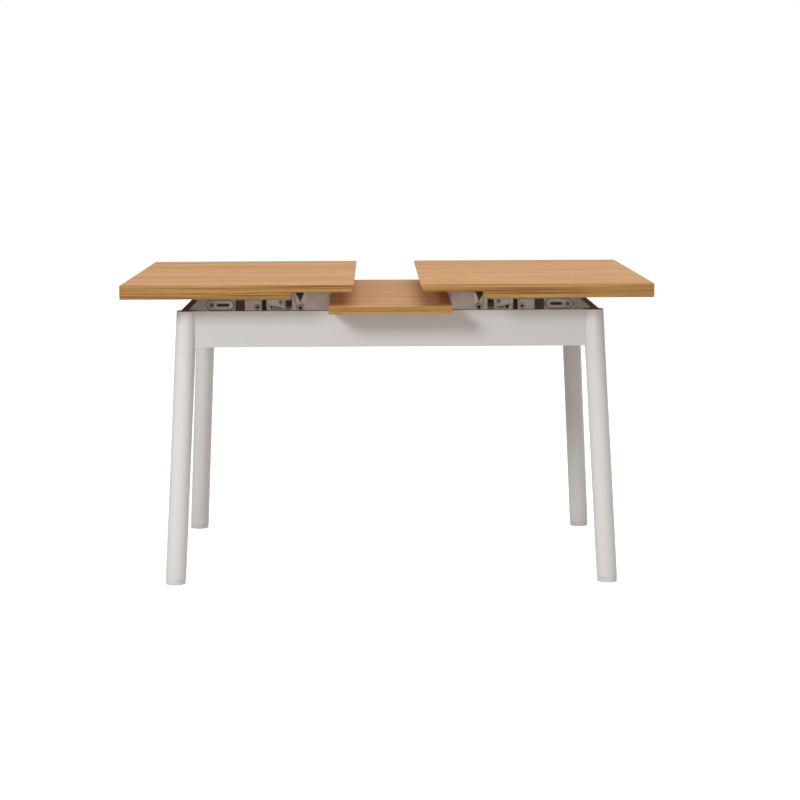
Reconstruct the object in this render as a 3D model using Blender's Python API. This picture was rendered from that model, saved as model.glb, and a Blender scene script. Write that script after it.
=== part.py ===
"""Extendable dining table: two sliding table-top halves, a stored leaf between them and a four-legged frame.

Metres, +Z up. The frame's centre is at X = 0, Y = 0, the floor is Z = 0 and the front is -Y.
The table opens along X. At rest both halves stand part-open with the leaf lowered under them.
"""

import math

import bmesh
import bpy
from mathutils import Vector

# Overall sizes
TABLE_HEIGHT = 0.760
TABLE_DEPTH = 0.800
HALF_LENGTH = 0.5725
LEAF_WIDTH = 0.3054
LEFT_OPENING = 0.090
RIGHT_OPENING = 0.0735

# Boards
BOARD = 0.018
STRIP_HEIGHT = 0.016
STRIP_WIDTH = 0.040
THIN_STRETCH = 0.154
INNER_LIP = 0.002
INNER_UNDERCUT = 0.007
BOARD_ROUND = 0.0005

# Frame
APRON_DROP = 0.0725
APRON_HEIGHT = 0.091
APRON_SET_OUT = 0.007
LEG_RADIUS = 0.0256
LEG_INSET_X = 0.0635
LEG_INSET_Y = 0.110
LEG_SPLAY_X = 0.0375
LEG_SPLAY_Y = 0.047
FOOT_HEIGHT = 0.013
FOOT_INSET = 0.0007
BLOCK_REACH = 0.075
BLOCK_HEIGHT = 0.060

# Mechanism rails
BEAM_SPACING = 0.240
BEAM_HEIGHT = 0.048
BEAM_DROP = 0.0425
PLATE = 0.002
SLIDE_OFFSET = 0.025
SLIDE_END_SPACE = 0.0325
SLIDE_HEIGHT = 0.036
SLIDE_DEPTH = 0.012
SLIDE_SHEET = 0.0012
SLIDE_RISE = 0.0125
RACE = 0.0015
SUPPORT_OFFSET = 0.035
SUPPORT_END_SPACE = 0.029
INNER_EAR = 0.048
EAR_SLOT = 0.005
OUTER_EAR = 0.078
EAR_ROUND = 0.008
FLANGE_WIDTH = 0.020

# Leaf lift
PIVOT_OFFSET = 0.0823
ARM_REACH = 0.112
ARM_TIP_RADIUS = 0.008
ARM_BAR_RADIUS = 0.006
ARM_EYE_RADIUS = 0.010
ARM_THICKNESS = 0.006
ARM_CRANK_X = 0.050
ARM_CRANK_DROP = 0.036
SHAFT_RADIUS = 0.005
BRACKET_WIDTH = 0.036
BRACKET_SKIRT = 0.030
TIP_CLEARANCE = 0.0005
ROD_RADIUS = 0.006
ROD_LENGTH = 0.088
ROD_FLANGE_RADIUS = 0.020
GUIDE_WIDTH = 0.040
GUIDE_HEIGHT = 0.046
SPRING_RADIUS = 0.0085
SPRING_WIRE = 0.0014
SPRING_TURNS = 8
SPRING_STEPS = 14
WIRE_SIDES = 6
SPRING_PITCH = 0.0036
SPRING_TAIL = 0.030

# Fits
GAP = 0.0003
RUNNING = 0.0003

# Worked out from the sizes above
BOARD_UNDER = TABLE_HEIGHT - BOARD
APRON_TOP = TABLE_HEIGHT - APRON_DROP
APRON_BOTTOM = APRON_TOP - APRON_HEIGHT
LEG_TOP_X = HALF_LENGTH - LEG_INSET_X
LEG_TOP_Y = TABLE_DEPTH / 2 - LEG_INSET_Y
APRON_X = LEG_TOP_X + APRON_SET_OUT
APRON_Y = LEG_TOP_Y + APRON_SET_OUT
LEG_FOOT_X = LEG_TOP_X + LEG_SPLAY_X
LEG_FOOT_Y = LEG_TOP_Y + LEG_SPLAY_Y
LEAF_UNDER = APRON_TOP + GAP
LEAF_LIFT = BOARD_UNDER - LEAF_UNDER
LEAF_HALF = LEAF_WIDTH / 2
PIVOT_X = LEAF_HALF + PIVOT_OFFSET
BEAM_TOP = APRON_TOP - BEAM_DROP
SLIDE_BOTTOM = APRON_TOP + SLIDE_RISE
SLIDE_START = PIVOT_X + SLIDE_OFFSET
SLIDE_LENGTH = HALF_LENGTH - STRIP_WIDTH - SLIDE_END_SPACE - SLIDE_START
SUPPORT_START = PIVOT_X + SUPPORT_OFFSET
SUPPORT_END = APRON_X - BOARD / 2 - SUPPORT_END_SPACE
BEAM_CENTRE = BEAM_SPACING / 2
BEAM_OUTER = BEAM_CENTRE + BOARD / 2
BEAM_INNER = BEAM_CENTRE - BOARD / 2
TIP_REST_Z = LEAF_UNDER - TIP_CLEARANCE - ARM_TIP_RADIUS
PIVOT_Z = TIP_REST_Z + LEAF_LIFT / 2

SIDES = {"left": -1, "right": 1}
ROWS = {"front": -1, "back": 1}
OPENINGS = {"left": LEFT_OPENING, "right": RIGHT_OPENING}

FINISHES = {
    "oak": ((0.55, 0.36, 0.19, 1), 0.45, 0.0),
    "white_board": ((0.60, 0.58, 0.56, 1), 0.5, 0.0),
    "white_lacquer": ((0.75, 0.74, 0.71, 1), 0.35, 0.0),
    "plain_wood": ((0.38, 0.25, 0.15, 1), 0.7, 0.0),
    "galvanised": ((0.60, 0.60, 0.59, 1), 0.4, 0.9),
    "bright_steel": ((0.65, 0.65, 0.66, 1), 0.25, 1.0),
    "spring_steel": ((0.12, 0.12, 0.13, 1), 0.4, 0.9),
    "grey_plastic": ((0.42, 0.41, 0.40, 1), 0.6, 0.0),
}


def clear_scene():
    for item in list(bpy.data.objects):
        bpy.data.objects.remove(item, do_unlink=True)


def make_material(name):
    colour, roughness, metallic = FINISHES[name]
    material = bpy.data.materials.new(name)
    material.use_nodes = True
    shader = material.node_tree.nodes["Principled BSDF"]
    shader.inputs["Base Color"].default_value = colour
    shader.inputs["Roughness"].default_value = roughness
    shader.inputs["Metallic"].default_value = metallic
    material.diffuse_color = colour
    return material


def material_of(name):
    return bpy.data.materials.get(name) or make_material(name)


def make_pivot(name, place=(0, 0, 0)):
    empty = bpy.data.objects.new(name, None)
    empty.location = place
    bpy.context.collection.objects.link(empty)
    return empty


def make_object(name, shape, pivot, finish=None, smooth=False):
    """Links a bmesh as an object whose origin is its pivot. The mesh comes in world coordinates."""
    bmesh.ops.recalc_face_normals(shape, faces=shape.faces)
    bmesh.ops.translate(shape, verts=shape.verts, vec=[-c for c in pivot.location])
    mesh = bpy.data.meshes.new(name)
    shape.to_mesh(mesh)
    shape.free()
    item = bpy.data.objects.new(name, mesh)
    bpy.context.collection.objects.link(item)
    item.parent = pivot
    if smooth:
        mesh.shade_smooth()
        mesh.set_sharp_from_angle(angle=math.radians(40))
    if finish:
        mesh.materials.append(material_of(finish))
    return item


def make_cutter(name, shape, pivot):
    item = make_object(name, shape, pivot)
    item.hide_render = True
    item.display_type = "WIRE"
    return item


def boolean(item, other, operation="DIFFERENCE"):
    modifier = item.modifiers.new(other.name, "BOOLEAN")
    modifier.operation = operation
    modifier.solver = "EXACT"
    modifier.object = other


def soften(item, width):
    """Rounds the square edges by a small radius."""
    modifier = item.modifiers.new("soften", "BEVEL")
    modifier.width = width
    modifier.segments = 2
    modifier.limit_method = "ANGLE"
    modifier.angle_limit = math.radians(50)
    modifier.use_clamp_overlap = True


def prism(outline, axis, start, end):
    """Extrudes a flat outline along a world axis. X takes (y, z) points, Y takes (x, z) and Z takes (x, y)."""
    shape = bmesh.new()
    rings = []
    for level in (start, end):
        if axis == "X":
            points = [(level, a, b) for a, b in outline]
        elif axis == "Y":
            points = [(a, level, b) for a, b in outline]
        else:
            points = [(a, b, level) for a, b in outline]
        rings.append([shape.verts.new(point) for point in points])
    count = len(outline)
    for index in range(count):
        after = (index + 1) % count
        shape.faces.new((rings[0][index], rings[0][after], rings[1][after], rings[1][index]))
    shape.faces.new(rings[0])
    shape.faces.new(rings[1])
    return shape


def box(low, high):
    """A box between two corners. Either corner may hold the larger value of a coordinate."""
    outline = [(low[0], low[1]), (high[0], low[1]), (high[0], high[1]), (low[0], high[1])]
    return prism(outline, "Z", low[2], high[2])


def circle(centre, radius, sides=32):
    turns = [2 * math.pi * index / sides for index in range(sides)]
    return [(centre[0] + radius * math.cos(t), centre[1] + radius * math.sin(t)) for t in turns]


def round_box(low, high, radius, steps=5):
    """The outline of a rectangle with round corners."""
    x_low, x_high = sorted((low[0], high[0]))
    z_low, z_high = sorted((low[1], high[1]))
    corners = [(x_high, z_high, 0), (x_low, z_high, 1), (x_low, z_low, 2), (x_high, z_low, 3)]
    points = []
    for x, z, quarter in corners:
        x_centre = x - radius if x == x_high else x + radius
        z_centre = z - radius if z == z_high else z + radius
        for index in range(steps + 1):
            turn = math.pi / 2 * (quarter + index / steps)
            points.append((x_centre + radius * math.cos(turn), z_centre + radius * math.sin(turn)))
    return points


def capsule(first, second, first_radius, second_radius, steps=12):
    """The outline of a bar with round ends of two radii."""
    run = (second[0] - first[0], second[1] - first[1])
    length = math.hypot(*run)
    heading = math.atan2(run[1], run[0])
    lean = math.acos((first_radius - second_radius) / length)
    points = []
    for index in range(steps + 1):
        turn = heading + lean + (2 * math.pi - 2 * lean) * index / steps
        points.append((first[0] + first_radius * math.cos(turn), first[1] + first_radius * math.sin(turn)))
    for index in range(steps + 1):
        turn = heading - lean + 2 * lean * index / steps
        points.append((second[0] + second_radius * math.cos(turn), second[1] + second_radius * math.sin(turn)))
    return points


def leg_centre(x_sign, y_sign, height):
    """The centre of a splayed leg at a height."""
    along = height / APRON_TOP
    x = LEG_FOOT_X + (LEG_TOP_X - LEG_FOOT_X) * along
    y = LEG_FOOT_Y + (LEG_TOP_Y - LEG_FOOT_Y) * along
    return x_sign * x, y_sign * y


def leg_shape(x_sign, y_sign, radius, bottom, top, sides=40):
    """A leg's round bar between two level cuts."""
    shape = bmesh.new()
    rings = []
    for height in (bottom, top):
        outline = circle(leg_centre(x_sign, y_sign, height), radius, sides)
        rings.append([shape.verts.new((x, y, height)) for x, y in outline])
    for index in range(sides):
        after = (index + 1) % sides
        shape.faces.new((rings[0][index], rings[0][after], rings[1][after], rings[1][index]))
    shape.faces.new(rings[0])
    shape.faces.new(rings[1])
    return shape


def make_leg(side, row, frame):
    x_sign = SIDES[side]
    y_sign = ROWS[row]
    name = f"{row}_{side}"
    leg = leg_shape(x_sign, y_sign, LEG_RADIUS, FOOT_HEIGHT + GAP, APRON_TOP)
    make_object(f"leg_{name}", leg, frame, "white_lacquer", smooth=True)
    foot = leg_shape(x_sign, y_sign, LEG_RADIUS - FOOT_INSET, 0, FOOT_HEIGHT)
    make_object(f"foot_{name}", foot, frame, "grey_plastic", smooth=True)
    seat = leg_shape(x_sign, y_sign, LEG_RADIUS + GAP, APRON_BOTTOM - BOARD, APRON_TOP + BOARD)
    return make_cutter(f"cut_leg_{name}", seat, frame)


def make_aprons(frame, seats):
    for row, y_sign in ROWS.items():
        near = y_sign * (APRON_Y - BOARD / 2)
        far = y_sign * (APRON_Y + BOARD / 2)
        shape = box((-LEG_TOP_X, near, APRON_BOTTOM), (LEG_TOP_X, far, APRON_TOP))
        apron = make_object(f"apron_{row}", shape, frame, "white_board")
        for side in SIDES:
            boolean(apron, seats[side, row])
    for side, x_sign in SIDES.items():
        near = x_sign * (APRON_X - BOARD / 2)
        far = x_sign * (APRON_X + BOARD / 2)
        shape = box((near, -LEG_TOP_Y, APRON_BOTTOM), (far, LEG_TOP_Y, APRON_TOP))
        apron = make_object(f"apron_{side}", shape, frame, "white_board")
        for row in ROWS:
            boolean(apron, seats[side, row])


def make_corner_block(side, row, frame, seat):
    """The block that ties two aprons and a leg together inside a corner."""
    x_sign = SIDES[side]
    y_sign = ROWS[row]
    x_face = APRON_X - BOARD / 2 - GAP
    y_face = APRON_Y - BOARD / 2 - GAP
    ear = BOARD
    corners = [
        (x_face - BLOCK_REACH, y_face),
        (x_face, y_face),
        (x_face, y_face - BLOCK_REACH),
        (x_face - ear, y_face - BLOCK_REACH),
        (x_face - BLOCK_REACH, y_face - ear),
    ]
    outline = [(x_sign * x, y_sign * y) for x, y in corners]
    middle = APRON_TOP - APRON_HEIGHT / 2
    shape = prism(outline, "Z", middle - BLOCK_HEIGHT / 2, middle + BLOCK_HEIGHT / 2)
    block = make_object(f"corner_block_{row}_{side}", shape, frame, "plain_wood")
    boolean(block, seat)


def make_beam(row, frame):
    y_sign = ROWS[row]
    reach = APRON_X - BOARD / 2 - GAP
    low = (-reach, y_sign * BEAM_INNER, BEAM_TOP - BEAM_HEIGHT)
    high = (reach, y_sign * BEAM_OUTER, BEAM_TOP)
    make_object(f"slide_beam_{row}", box(low, high), frame, "white_board")


def make_guide_block(row, frame):
    """The block on a beam that a guide rod of the leaf runs in."""
    y_sign = ROWS[row]
    face = BEAM_INNER - GAP
    low = (-GUIDE_WIDTH / 2, y_sign * (face - GUIDE_WIDTH), BEAM_TOP - GUIDE_HEIGHT)
    high = (GUIDE_WIDTH / 2, y_sign * face, BEAM_TOP)
    block = make_object(f"leaf_guide_block_{row}", box(low, high), frame, "grey_plastic")
    bore = circle((0, y_sign * (face - GUIDE_WIDTH / 2)), ROD_RADIUS + RUNNING)
    drill = prism(bore, "Z", low[2] - BOARD, high[2] + BOARD)
    boolean(block, make_cutter(f"cut_guide_{row}", drill, frame))


def make_lift_bracket(side, row, frame):
    """The saddle on a beam that holds the lift shaft between two cheeks."""
    x_sign = SIDES[side]
    y_sign = ROWS[row]
    inner = BEAM_INNER - GAP
    outer = BEAM_OUTER + GAP
    seat = BEAM_TOP + GAP
    bottom = BEAM_TOP - BRACKET_SKIRT
    top = PIVOT_Z + SHAFT_RADIUS + ARM_EYE_RADIUS
    outline = [
        (inner - PLATE, bottom),
        (inner, bottom),
        (inner, seat),
        (outer, seat),
        (outer, bottom),
        (outer + PLATE, bottom),
        (outer + PLATE, top),
        (outer, top),
        (outer, seat + PLATE),
        (inner, seat + PLATE),
        (inner, top),
        (inner - PLATE, top),
    ]
    flat = [(y_sign * y, z) for y, z in outline]
    start = x_sign * (PIVOT_X - BRACKET_WIDTH / 2)
    end = x_sign * (PIVOT_X + BRACKET_WIDTH / 2)
    bracket = make_object(f"lift_bracket_{row}_{side}", prism(flat, "X", start, end), frame, "galvanised")
    bore = circle((x_sign * PIVOT_X, PIVOT_Z), SHAFT_RADIUS + RUNNING)
    drill = prism(bore, "Y", y_sign * (inner - BOARD), y_sign * (outer + BOARD))
    boolean(bracket, make_cutter(f"cut_bracket_{row}_{side}", drill, frame))


def make_slide_support(side, row, frame):
    """The pressed plate on a beam. Its two ears stand up and carry a slide's channel."""
    x_sign = SIDES[side]
    y_sign = ROWS[row]
    start = SUPPORT_START
    end = SUPPORT_END
    near = y_sign * (BEAM_OUTER + GAP)
    far = y_sign * (BEAM_OUTER + GAP + PLATE)
    bottom = BEAM_TOP - BRACKET_SKIRT
    top = SLIDE_BOTTOM + SLIDE_HEIGHT
    base = prism(round_box((x_sign * start, bottom), (x_sign * end, BEAM_TOP), EAR_ROUND), "Y", near, far)
    plate = make_object(f"slide_support_{row}_{side}", base, frame, "galvanised", smooth=True)
    slot_z = (BEAM_TOP + SLIDE_BOTTOM + SLIDE_DEPTH) / 2
    for label, low, high in (("inner", start, start + INNER_EAR), ("outer", end - OUTER_EAR, end)):
        ear = prism(round_box((x_sign * low, bottom), (x_sign * high, top), EAR_ROUND), "Y", near, far)
        boolean(plate, make_cutter(f"join_{label}_{row}_{side}", ear, frame), "UNION")
        middle = x_sign * (low + high) / 2
        half_slot = (high - low) / 5
        outline = capsule((middle - half_slot, slot_z), (middle + half_slot, slot_z), EAR_SLOT, EAR_SLOT)
        slot = prism(outline, "Y", near - y_sign * PLATE, far + y_sign * PLATE)
        boolean(plate, make_cutter(f"cut_{label}_{row}_{side}", slot, frame))


def channel_outline(inner, depth, bottom, top, sheet):
    """A C section in (distance from the middle, height), open away from the middle."""
    return [
        (inner, bottom),
        (inner + depth, bottom),
        (inner + depth, bottom + sheet),
        (inner + sheet, bottom + sheet),
        (inner + sheet, top - sheet),
        (inner + depth, top - sheet),
        (inner + depth, top),
        (inner, top),
    ]


def slide_section(member):
    """The section of one slide member: the channel, the runner inside it or the bar inside that."""
    inner = BEAM_OUTER + GAP + PLATE + GAP
    bottom = SLIDE_BOTTOM
    top = SLIDE_BOTTOM + SLIDE_HEIGHT
    if member == "channel":
        return channel_outline(inner, SLIDE_DEPTH, bottom, top, SLIDE_SHEET)
    inner += SLIDE_SHEET + RUNNING
    bottom += SLIDE_SHEET + RACE
    top -= SLIDE_SHEET + RACE
    if member == "runner":
        return channel_outline(inner, SLIDE_DEPTH - SLIDE_SHEET - RUNNING, bottom, top, SLIDE_SHEET)
    inner += SLIDE_SHEET + RUNNING
    bottom += SLIDE_SHEET + RACE
    top -= SLIDE_SHEET + RACE
    outside = BEAM_OUTER + SLIDE_DEPTH + 2 * PLATE + RACE
    middle = (bottom + top) / 2
    under = BOARD_UNDER - GAP
    return [
        (inner, bottom),
        (inner + PLATE, bottom),
        (inner + PLATE, middle - PLATE / 2),
        (outside + PLATE, middle - PLATE / 2),
        (outside + PLATE, under - PLATE),
        (outside + PLATE + FLANGE_WIDTH, under - PLATE),
        (outside + PLATE + FLANGE_WIDTH, under),
        (outside, under),
        (outside, middle + PLATE / 2),
        (inner + PLATE, middle + PLATE / 2),
        (inner + PLATE, top),
        (inner, top),
    ]


def make_slide_member(member, side, row, pivot, shift):
    x_sign = SIDES[side]
    outline = [(ROWS[row] * y, z) for y, z in slide_section(member)]
    start = x_sign * (SLIDE_START + shift)
    end = x_sign * (SLIDE_START + SLIDE_LENGTH + shift)
    make_object(f"slide_{member}_{row}_{side}", prism(outline, "X", start, end), pivot, "galvanised")


def make_half_board(side, pivot):
    """A table-top half. Its inner edge is undercut below a square lip."""
    x_sign = SIDES[side]
    inner = OPENINGS[side]
    outer = inner + HALF_LENGTH
    outline = [
        (inner, TABLE_HEIGHT),
        (inner, TABLE_HEIGHT - INNER_LIP),
        (inner + INNER_UNDERCUT, BOARD_UNDER),
        (outer, BOARD_UNDER),
        (outer, TABLE_HEIGHT),
    ]
    flat = [(x_sign * x, z) for x, z in outline]
    board = make_object(
        f"table_top_{side}", prism(flat, "Y", -TABLE_DEPTH / 2, TABLE_DEPTH / 2), pivot, "oak"
    )
    soften(board, BOARD_ROUND)


def make_edge_strips(side, pivot):
    """The strips under a half's rim that make its edge look twice as thick."""
    x_sign = SIDES[side]
    outer = OPENINGS[side] + HALF_LENGTH
    top = BOARD_UNDER - GAP
    bottom = BOARD_UNDER - STRIP_HEIGHT
    for row, y_sign in ROWS.items():
        low = (x_sign * (OPENINGS[side] + THIN_STRETCH), y_sign * (TABLE_DEPTH / 2 - STRIP_WIDTH), bottom)
        high = (x_sign * outer, y_sign * TABLE_DEPTH / 2, top)
        strip = make_object(f"edge_strip_{row}_{side}", box(low, high), pivot, "oak")
        soften(strip, BOARD_ROUND)
    reach = TABLE_DEPTH / 2 - STRIP_WIDTH - GAP
    low = (x_sign * (outer - STRIP_WIDTH), -reach, bottom)
    high = (x_sign * outer, reach, top)
    strip = make_object(f"edge_strip_end_{side}", box(low, high), pivot, "oak")
    soften(strip, BOARD_ROUND)


def make_leaf(pivot):
    low = (-LEAF_HALF, -TABLE_DEPTH / 2, LEAF_UNDER)
    high = (LEAF_HALF, TABLE_DEPTH / 2, LEAF_UNDER + BOARD)
    leaf = make_object("extension_leaf", box(low, high), pivot, "oak")
    soften(leaf, BOARD_ROUND)


def make_guide_rod(row, pivot):
    """A rod under the leaf with a flange that is screwed to it."""
    y_sign = ROWS[row]
    centre = (0, y_sign * (BEAM_INNER - GAP - GUIDE_WIDTH / 2))
    top = LEAF_UNDER - GAP
    shape = bmesh.new()
    levels = [
        (top - ROD_LENGTH, ROD_RADIUS),
        (top - PLATE, ROD_RADIUS),
        (top - PLATE, ROD_FLANGE_RADIUS),
        (top, ROD_FLANGE_RADIUS),
    ]
    rings = []
    for height, radius in levels:
        rings.append([shape.verts.new((x, y, height)) for x, y in circle(centre, radius, 32)])
    for lower, upper in zip(rings, rings[1:]):
        for index in range(len(lower)):
            after = (index + 1) % len(lower)
            shape.faces.new((lower[index], lower[after], upper[after], upper[index]))
    shape.faces.new(rings[0])
    shape.faces.new(rings[-1])
    make_object(f"leaf_guide_rod_{row}", shape, pivot, "bright_steel", smooth=True)


def make_lift_arm(side, row, pivot):
    """A cranked arm on the lift shaft that carries the leaf on its round tip."""
    x_sign = SIDES[side]
    y_sign = ROWS[row]
    near = y_sign * (BEAM_CENTRE - ARM_THICKNESS / 2)
    far = y_sign * (BEAM_CENTRE + ARM_THICKNESS / 2)
    eye = (x_sign * PIVOT_X, PIVOT_Z)
    crank = (x_sign * (PIVOT_X - ARM_CRANK_X), PIVOT_Z - ARM_CRANK_DROP)
    tip = (x_sign * (PIVOT_X - ARM_REACH), TIP_REST_Z)
    upper = prism(capsule(eye, crank, ARM_EYE_RADIUS, ARM_BAR_RADIUS), "Y", near, far)
    lower = prism(capsule(crank, tip, ARM_BAR_RADIUS, ARM_TIP_RADIUS), "Y", near, far)
    arm = make_object(f"lift_arm_{row}_{side}", upper, pivot, "galvanised", smooth=True)
    boolean(arm, make_cutter(f"join_arm_{row}_{side}", lower, pivot), "UNION")
    bore = prism(circle(eye, SHAFT_RADIUS + RUNNING), "Y", near - y_sign * PLATE, far + y_sign * PLATE)
    boolean(arm, make_cutter(f"cut_arm_{row}_{side}", bore, pivot))


def make_lift_shaft(side, pivot):
    reach = BEAM_OUTER + GAP + PLATE
    centre = (SIDES[side] * PIVOT_X, PIVOT_Z)
    shaft = prism(circle(centre, SHAFT_RADIUS), "Y", -reach, reach)
    make_object(f"lift_shaft_{side}", shaft, pivot, "bright_steel", smooth=True)


def spring_path(side):
    """The middle line of a torsion spring round the lift shaft, with a tail at each end."""
    x_sign = SIDES[side]
    start = -(BEAM_INNER - GAP - PLATE) + 3 * SPRING_PITCH
    points = [(SPRING_RADIUS, start, -SPRING_TAIL)]
    for index in range(SPRING_TURNS * SPRING_STEPS + 1):
        turn = 2 * math.pi * index / SPRING_STEPS
        y = start + SPRING_PITCH * index / SPRING_STEPS
        points.append((SPRING_RADIUS * math.cos(turn), y, SPRING_RADIUS * math.sin(turn)))
    points.append((SPRING_RADIUS, start + SPRING_TURNS * SPRING_PITCH, SPRING_TAIL / 2))
    return [(x_sign * (PIVOT_X + x), y, PIVOT_Z + z) for x, y, z in points]


def make_spring(side, frame):
    points = [Vector(point) for point in spring_path(side)]
    shape = bmesh.new()
    rings = []
    for index, point in enumerate(points):
        before = points[max(index - 1, 0)]
        after = points[min(index + 1, len(points) - 1)]
        along = (after - before).normalized()
        across = along.cross(Vector((0, 1, 0))).normalized()
        lift = along.cross(across)
        ring = []
        for step in range(WIRE_SIDES):
            turn = 2 * math.pi * step / WIRE_SIDES
            offset = across * math.cos(turn) + lift * math.sin(turn)
            ring.append(shape.verts.new(point + offset * SPRING_WIRE))
        rings.append(ring)
    for lower, upper in zip(rings, rings[1:]):
        for step in range(WIRE_SIDES):
            after = (step + 1) % WIRE_SIDES
            shape.faces.new((lower[step], lower[after], upper[after], upper[step]))
    shape.faces.new(rings[0])
    shape.faces.new(rings[-1])
    make_object(f"lift_spring_{side}", shape, frame, "spring_steel", smooth=True)


def make_table():
    clear_scene()
    frame = make_pivot("frame_pivot")
    leaf = make_pivot("leaf_pivot", (0, 0, LEAF_UNDER))
    seats = {(side, row): make_leg(side, row, frame) for side in SIDES for row in ROWS}
    make_aprons(frame, seats)
    for row in ROWS:
        make_beam(row, frame)
        make_guide_block(row, frame)
        make_guide_rod(row, leaf)
    make_leaf(leaf)
    for side, x_sign in SIDES.items():
        opening = OPENINGS[side]
        carriage = make_pivot(f"carriage_pivot_{side}", (x_sign * SLIDE_START, 0, SLIDE_BOTTOM))
        top = make_pivot(f"top_pivot_{side}", (x_sign * opening, 0, BOARD_UNDER))
        lift = make_pivot(f"lift_pivot_{side}", (x_sign * PIVOT_X, 0, PIVOT_Z))
        make_half_board(side, top)
        make_edge_strips(side, top)
        make_lift_shaft(side, lift)
        make_spring(side, frame)
        for row in ROWS:
            make_corner_block(side, row, frame, seats[side, row])
            make_lift_bracket(side, row, frame)
            make_slide_support(side, row, frame)
            make_slide_member("channel", side, row, frame, 0)
            make_slide_member("runner", side, row, carriage, opening)
            make_slide_member("bar", side, row, top, opening)
            make_lift_arm(side, row, lift)


make_table()
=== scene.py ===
"""Looks of an extendable dining table with an oak top, a white frame and a zinc-plated slide mechanism."""

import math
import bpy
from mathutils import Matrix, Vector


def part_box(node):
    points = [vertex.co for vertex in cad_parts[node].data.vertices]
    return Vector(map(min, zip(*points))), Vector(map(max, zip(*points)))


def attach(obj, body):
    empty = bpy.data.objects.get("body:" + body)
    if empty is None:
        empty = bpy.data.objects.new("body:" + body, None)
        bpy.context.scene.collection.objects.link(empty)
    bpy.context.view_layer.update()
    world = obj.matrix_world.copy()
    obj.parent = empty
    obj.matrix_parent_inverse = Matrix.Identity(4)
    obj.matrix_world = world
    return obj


bl_info = {
    "name": "Extendable Dining Table",
    "version": (1, 0, 0),
    "blender": (4, 5, 0),
    "location": "3D View > Sidebar > Table",
    "description": "Finishes, small hardware and a studio stage for an extendable dining table",
    "category": "Object",
}

import bmesh
import bpy
from mathutils import Matrix, Vector

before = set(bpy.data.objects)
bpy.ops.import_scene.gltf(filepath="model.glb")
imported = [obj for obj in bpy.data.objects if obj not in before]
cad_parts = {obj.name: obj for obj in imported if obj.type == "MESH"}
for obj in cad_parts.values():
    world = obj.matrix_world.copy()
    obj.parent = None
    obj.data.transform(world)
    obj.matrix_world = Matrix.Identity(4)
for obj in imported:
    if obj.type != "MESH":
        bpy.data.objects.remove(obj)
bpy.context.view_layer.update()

SIDES = {"left": -1, "right": 1}
ROWS = {"front": -1, "back": 1}
UNITS = [(side, row, SIDES[side], ROWS[row]) for side in SIDES for row in ROWS]
HAIR = 0.0003
# Heights of dark sheets of painted shade: the bracket's V recess, the link's shadow and the shade round the
# rims.
V_RECESS_SHADE_SHEET = 0.0012
LINK_SHADE_SHEET = 0.0020
LINK_SHEET = 0.0030
RIM_SHADE_SHEET = 0.0008
RIM_SHEET = 0.0014
FLANGE_SHEET = 0.0020
BLOCK_CORNER = 0.018
SCREW_SHARES = (0.1, 0.5, 0.9)
SUPPORT_FOOT = 0.020
LEVER_LENGTH = 0.040
LEVER_SHEET = 0.0018
PAD_RIBS = 6


# Sizes and colours that a user would change


def colour_setting(name, description, colour):
    """A colour that a user can pick."""
    return bpy.props.FloatVectorProperty(
        name=name, description=description, default=colour, subtype="COLOR", size=3, min=0, max=1
    )


def length_setting(name, description, length, least, most):
    """A length in metres."""
    return bpy.props.FloatProperty(
        name=name, description=description, default=length, min=least, max=most, unit="LENGTH"
    )


def angle_setting(name, description, angle):
    """An angle in radians, which the panel shows in degrees."""
    return bpy.props.FloatProperty(
        name=name, description=description, default=angle, subtype="ANGLE", unit="ROTATION"
    )


def power_setting(name, description, watts):
    """The power of one light."""
    return bpy.props.FloatProperty(name=name, description=description, default=watts, min=0, max=1000)


class TableFinish(bpy.types.PropertyGroup):
    """Colours of the boards, the legs and the metal."""

    oak_light: colour_setting(
        "Oak light", "Colour of the early wood on the table top", (0.625, 0.352, 0.165)
    )
    oak_dark: colour_setting(
        "Oak dark", "Colour of the grain lines on the table top", (0.440, 0.215, 0.082)
    )
    edge_light: colour_setting("Edge band light", "Colour of the golden edge band", (0.56, 0.300, 0.090))
    edge_dark: colour_setting(
        "Edge band dark", "Colour of the bold grain lines on the edge band", (0.120, 0.050, 0.015)
    )
    board_white: colour_setting(
        "Board white", "Colour of the melamine faces of the aprons and beams", (0.645, 0.64, 0.64)
    )
    lacquer_white: colour_setting("Lacquer white", "Colour of the lacquered legs", (0.715, 0.715, 0.71))
    raw_board: colour_setting(
        "Raw board", "Colour of the uncovered chipboard edges and leg tops", (0.155, 0.085, 0.045)
    )
    zinc: colour_setting("Zinc", "Colour of the zinc-plated steel", (0.78, 0.755, 0.73))


class TableHardware(bpy.types.PropertyGroup):
    """Sizes of the small hardware that the mechanism and the boards carry."""

    screw_radius: length_setting("Screw head radius", "Radius of the pan-head screws", 0.0038, 0.001, 0.01)
    bolt_radius: length_setting(
        "Bolt head radius", "Radius of the socket bolts on the lift brackets", 0.0050, 0.001, 0.01
    )
    washer_radius: length_setting(
        "Washer radius", "Outer radius of the washers under the bolts", 0.0082, 0.002, 0.015
    )
    bellows_ribs: bpy.props.IntProperty(
        name="Buffer ribs",
        description="Number of ribs on each ribbed buffer",
        default=6,
        min=2,
        max=20,
    )
    bellows_radius: length_setting(
        "Buffer radius", "Radius of the ribbed buffers beside the lift brackets", 0.0120, 0.004, 0.02
    )
    rim_wire: length_setting(
        "Pressed rim", "Radius of the pressed rims on the slide supports", 0.0011, 0.0003, 0.003
    )


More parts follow.
